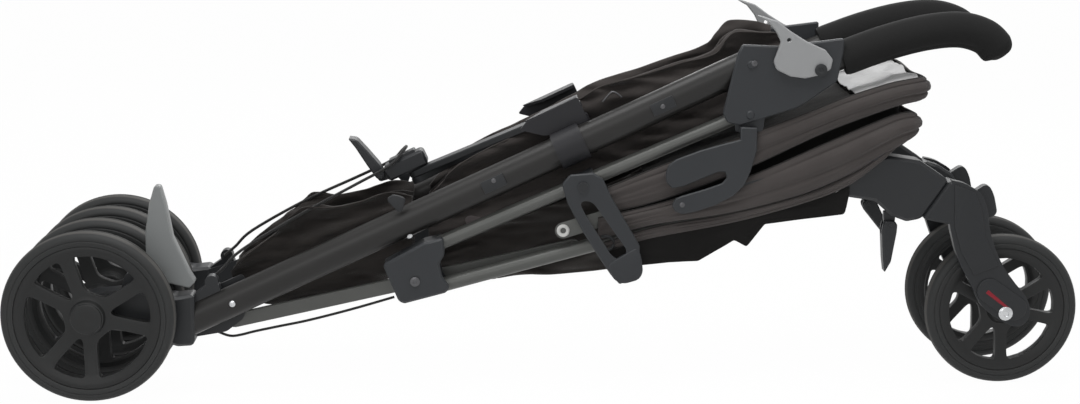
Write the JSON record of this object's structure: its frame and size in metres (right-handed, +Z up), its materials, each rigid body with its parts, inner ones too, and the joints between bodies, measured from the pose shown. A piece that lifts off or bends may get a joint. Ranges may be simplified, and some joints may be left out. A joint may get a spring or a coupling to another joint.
{
  "type": "folded umbrella buggy",
  "caption": "Folded umbrella buggy with twin rear wheels, front casters, foam handles, a collapsing side frame, a cross brace, a foot brake and a folded canopy.",
  "frame": {"origin": "on the floor under the middle of the folded buggy", "axes": "+X from the rear wheels to the handles and front casters, +Y to the far side, which is the buggy's left, +Z up"},
  "size_m": [1.118, 0.224, 0.3938],
  "materials": {
    "black_fabric": "woven, matt",
    "cord": "matt",
    "black_plastic": "moulded, satin",
    "grey_plastic": "moulded, satin",
    "black_frame": "powder coated, satin",
    "plate_plastic": "moulded, satin",
    "steel": "bright",
    "rim_plastic": "moulded, satin",
    "tyre": "solid foam tyre, matt",
    "foam_grip": "soft foam, matt"
  },
  "bodies": {
    "right_main": {"right_main_tube": "black_frame", "right_rear_foot": "black_plastic", "right_side_plate": "plate_plastic", "right_tube_sleeve": "black_plastic", "right_grip": "foam_grip", "right_canopy_clip": "plate_plastic", "right_rear_axle": "steel", "brake_cable": "cord", "basket_cord": "cord", "seat_fabric": "black_fabric", "backrest_fabric": "black_fabric", "basket_fabric": "black_fabric", "canopy_rear_fabric": "black_fabric"},
    "left_main": {"left_main_tube": "black_frame", "left_rear_foot": "black_plastic", "left_side_plate": "plate_plastic", "left_tube_sleeve": "black_plastic", "left_grip": "foam_grip", "left_canopy_clip": "plate_plastic", "left_rear_axle": "steel"},
    "right_upper": {"right_upper_leg": "black_frame", "right_knee": "black_plastic", "latch_sleeve": "black_plastic"},
    "right_lower": {"right_lower_leg": "black_frame", "right_front_foot": "black_plastic"},
    "right_strut": {"right_strut": "black_frame"},
    "right_caster": {"right_fork": "black_plastic", "right_front_axle": "steel"},
    "right_lock": {"right_swivel_lock": "black_plastic"},
    "right_front_wheel": {"right_front_wheel_rim": "rim_plastic", "right_front_wheel_tyre": "tyre"},
    "right_outer_wheel": {"right_outer_wheel_rim": "rim_plastic", "right_outer_wheel_tyre": "tyre"},
    "right_inner_wheel": {"right_inner_wheel_rim": "rim_plastic", "right_inner_wheel_tyre": "tyre"},
    "right_lever": {"right_release_lever": "grey_plastic"},
    "right_link": {"right_brace_link": "black_frame"},
    "right_bow": {"right_canopy_bow": "black_plastic", "canopy_front_fabric": "black_fabric"},
    "left_upper": {"left_upper_leg": "black_frame", "left_knee": "black_plastic"},
    "left_lower": {"left_lower_leg": "black_frame", "left_front_foot": "black_plastic"},
    "left_strut": {"left_strut": "black_frame"},
    "left_caster": {"left_fork": "black_plastic", "left_front_axle": "steel"},
    "left_lock": {"left_swivel_lock": "black_plastic"},
    "left_front_wheel": {"left_front_wheel_rim": "rim_plastic", "left_front_wheel_tyre": "tyre"},
    "left_outer_wheel": {"left_outer_wheel_rim": "rim_plastic", "left_outer_wheel_tyre": "tyre"},
    "left_inner_wheel": {"left_inner_wheel_rim": "rim_plastic", "left_inner_wheel_tyre": "tyre"},
    "left_lever": {"left_release_lever": "grey_plastic"},
    "left_link": {"left_brace_link": "black_frame"},
    "left_bow": {"left_canopy_bow": "black_plastic"},
    "hub": {"brace_hub": "black_plastic"},
    "foot_pedal": {"foot_pedal": "black_plastic"},
    "latch": {"storage_latch": "black_plastic"},
    "brake": {"brake_pedal": "grey_plastic"}
  },
  "joints": [
    {"name": "fold_width", "type": "slide", "parent": "right_main", "child": "left_main", "axis": [0, 1, 0], "range_m": [0, 0.28], "deforming": ["seat_fabric", "backrest_fabric", "basket_fabric", "canopy_rear_fabric", "canopy_front_fabric", "brake_cable"]},
    {"name": "right_upper_fold", "type": "hinge", "parent": "right_main", "child": "right_upper", "pos_m": [0.206, -0.065, 0.292], "axis": [0, -1, 0], "range_deg": [0, 36.05]},
    {"name": "right_lower_fold", "type": "hinge", "parent": "right_upper", "child": "right_lower", "pos_m": [-0.137, -0.065, 0.1197], "axis": [0, -1, 0], "range_deg": [-172.05, 0]},
    {"name": "right_strut_fold", "type": "hinge", "parent": "right_main", "child": "right_strut", "pos_m": [-0.328, -0.0472, 0.071], "axis": [0, -1, 0], "range_deg": [-56.85, 0]},
    {"name": "right_caster_swivel", "type": "hinge", "parent": "right_lower", "child": "right_caster", "pos_m": [0.4015, -0.05925, 0.2006], "axis": [0.8291, 0, -0.5591], "range_deg": [-45, 10]},
    {"name": "right_swivel_lock", "type": "hinge", "parent": "right_lower", "child": "right_lock", "pos_m": [0.356, -0.05925, 0.173], "axis": [0, -1, 0], "range_deg": [0, 35]},
    {"name": "right_front_spin", "type": "hinge", "parent": "right_caster", "child": "right_front_wheel", "pos_m": [0.479, -0.05, 0.08], "axis": [0, 1, 0], "continuous": true},
    {"name": "right_outer_spin", "type": "hinge", "parent": "right_main", "child": "right_outer_wheel", "pos_m": [-0.47, -0.097, 0.089], "axis": [0, 1, 0], "continuous": true},
    {"name": "right_inner_spin", "type": "hinge", "parent": "right_main", "child": "right_inner_wheel", "pos_m": [-0.47, -0.032, 0.089], "axis": [0, 1, 0], "continuous": true},
    {"name": "right_release", "type": "hinge", "parent": "right_main", "child": "right_lever", "pos_m": [0.2758, -0.0863, 0.3387], "axis": [0, 1, 0], "range_deg": [0, 22], "stiffness_Nm_per_rad": 0.3, "springref_deg": -5.73},
    {"name": "right_link_turn", "type": "hinge", "parent": "right_main", "child": "right_link", "pos_m": [0.02759, -0.045, 0.29563], "axis": [-0.4183, 0, 0.9083], "range_deg": [-70.11, 0]},
    {"name": "left_upper_fold", "type": "hinge", "parent": "left_main", "child": "left_upper", "pos_m": [0.206, 0.065, 0.292], "axis": [0, -1, 0], "range_deg": [0, 36.05]},
    {"name": "left_lower_fold", "type": "hinge", "parent": "left_upper", "child": "left_lower", "pos_m": [-0.137, 0.065, 0.1197], "axis": [0, -1, 0], "range_deg": [-172.05, 0]},
    {"name": "left_strut_fold", "type": "hinge", "parent": "left_main", "child": "left_strut", "pos_m": [-0.328, 0.0472, 0.071], "axis": [0, -1, 0], "range_deg": [-56.85, 0]},
    {"name": "left_caster_swivel", "type": "hinge", "parent": "left_lower", "child": "left_caster", "pos_m": [0.4015, 0.05925, 0.2006], "axis": [0.8291, 0, -0.5591], "range_deg": [-10, 45]},
    {"name": "left_swivel_lock", "type": "hinge", "parent": "left_lower", "child": "left_lock", "pos_m": [0.356, 0.05925, 0.173], "axis": [0, -1, 0], "range_deg": [-35, 0]},
    {"name": "left_front_spin", "type": "hinge", "parent": "left_caster", "child": "left_front_wheel", "pos_m": [0.479, 0.05, 0.08], "axis": [0, 1, 0], "continuous": true},
    {"name": "left_outer_spin", "type": "hinge", "parent": "left_main", "child": "left_outer_wheel", "pos_m": [-0.47, 0.097, 0.089], "axis": [0, 1, 0], "continuous": true},
    {"name": "left_inner_spin", "type": "hinge", "parent": "left_main", "child": "left_inner_wheel", "pos_m": [-0.47, 0.032, 0.089], "axis": [0, 1, 0], "continuous": true},
    {"name": "left_release", "type": "hinge", "parent": "left_main", "child": "left_lever", "pos_m": [0.2758, 0.0863, 0.3387], "axis": [0, 1, 0], "range_deg": [0, 22], "stiffness_Nm_per_rad": 0.3, "springref_deg": -5.73},
    {"name": "left_link_turn", "type": "hinge", "parent": "left_main", "child": "left_link", "pos_m": [0.03065, 0.045, 0.289], "axis": [-0.4183, 0, 0.9083], "range_deg": [0, 70.11]},
    {"name": "hub_turn", "type": "hinge", "parent": "right_link", "child": "hub", "pos_m": [-0.13792, 0, 0.22358], "axis": [-0.4183, 0, 0.9083], "range_deg": [0, 70.11]},
    {"name": "foot_pedal_press", "type": "hinge", "parent": "hub", "child": "foot_pedal", "pos_m": [-0.17455, 0, 0.21706], "axis": [0, -1, 0], "range_deg": [0, 35], "stiffness_Nm_per_rad": 0.2, "springref_deg": -11.46},
    {"name": "brake_press", "type": "hinge", "parent": "right_main", "child": "brake", "pos_m": [-0.43, -0.064, 0.123], "axis": [0, -1, 0], "range_deg": [0, 32]},
    {"name": "latch_swing", "type": "hinge", "parent": "right_upper", "child": "latch", "pos_m": [0.03584, -0.088, 0.21942], "axis": [0, -1, 0], "range_deg": [0, 35]},
    {"name": "right_canopy_turn", "type": "hinge", "parent": "right_main", "child": "right_bow", "pos_m": [0.135, -0.078, 0.199], "axis": [0, -1, 0], "range_deg": [-33.05, 0]},
    {"name": "canopy_width", "type": "slide", "parent": "right_bow", "child": "left_bow", "axis": [0, 1, 0], "range_m": [0, 0.2805]}
  ],
  "couplings": [
    {"joint": "right_upper_fold", "follows": "fold_width", "rad_per_m": 2.244},
    {"joint": "right_lower_fold", "follows": "fold_width", "rad_per_m": -10.721},
    {"joint": "right_strut_fold", "follows": "fold_width", "rad_per_m": -3.5405},
    {"joint": "right_link_turn", "follows": "fold_width", "rad_per_m": -4.3671},
    {"joint": "left_upper_fold", "follows": "fold_width", "rad_per_m": 2.244},
    {"joint": "left_lower_fold", "follows": "fold_width", "rad_per_m": -10.721},
    {"joint": "left_strut_fold", "follows": "fold_width", "rad_per_m": -3.5405},
    {"joint": "left_link_turn", "follows": "fold_width", "rad_per_m": 4.3671},
    {"joint": "hub_turn", "follows": "fold_width", "rad_per_m": 4.3671},
    {"joint": "right_canopy_turn", "follows": "fold_width", "rad_per_m": -2.057},
    {"joint": "canopy_width", "follows": "fold_width", "ratio": 1}
  ]
}
